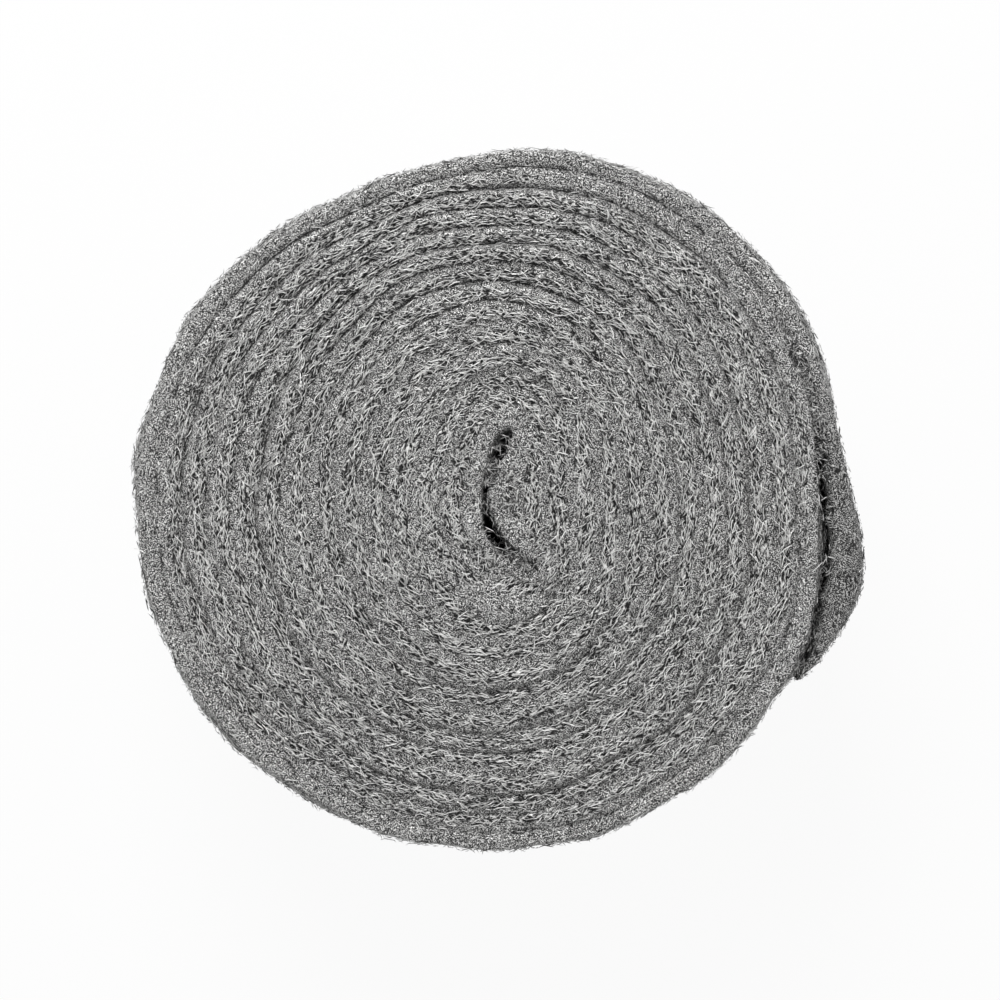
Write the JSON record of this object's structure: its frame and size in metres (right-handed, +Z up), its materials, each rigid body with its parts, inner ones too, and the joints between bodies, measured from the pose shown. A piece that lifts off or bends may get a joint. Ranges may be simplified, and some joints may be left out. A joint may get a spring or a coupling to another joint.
{
  "type": "steel wool roll",
  "caption": "Round roll of grey steel wool ribbon, wound on itself around a bent core slit, standing on its end, with a loose outer end flap.",
  "frame": {"origin": "middle of the footprint's bounding box, on the base plane that the lower end stands on", "axes": "+Z up along the winding axis, +Y towards the top of the picture, +X towards the side with the loose outer end"},
  "size_m": [0.1508, 0.144, 0.0804],
  "materials": {
    "steel_wool": "matte felt of fine curled steel fibres"
  },
  "bodies": {
    "root": {"wool_roll": "steel_wool"}
  },
  "joints": []
}
